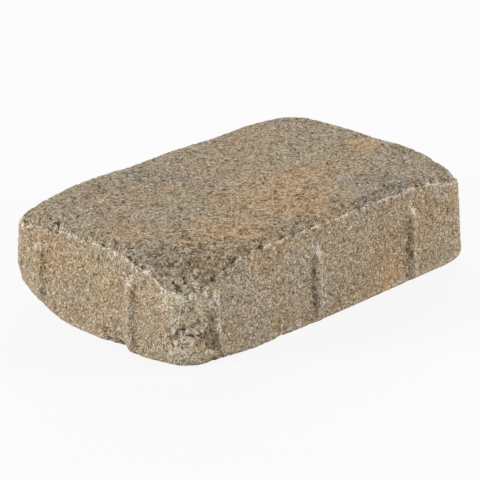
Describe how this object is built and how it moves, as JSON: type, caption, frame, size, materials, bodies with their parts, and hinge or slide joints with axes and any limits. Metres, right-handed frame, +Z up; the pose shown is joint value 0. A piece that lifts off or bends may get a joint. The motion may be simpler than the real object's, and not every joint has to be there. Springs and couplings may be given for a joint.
{
  "type": "concrete paving stone",
  "caption": "Tumbled cast concrete paving stone: a rectangular cobble with a worn, rolled top margin, rounded corners and low vertical spacer ribs cast on its side faces.",
  "frame": {"origin": "on the ground under the middle of the stone", "axes": "+Z up out of the walked-on top; +X along the length; +Y across the width"},
  "size_m": [0.2284, 0.1524, 0.0604],
  "materials": {
    "concrete": "matte, sandy cast concrete with worn edges"
  },
  "bodies": {
    "root": {"paving_stone": "concrete"}
  },
  "joints": []
}
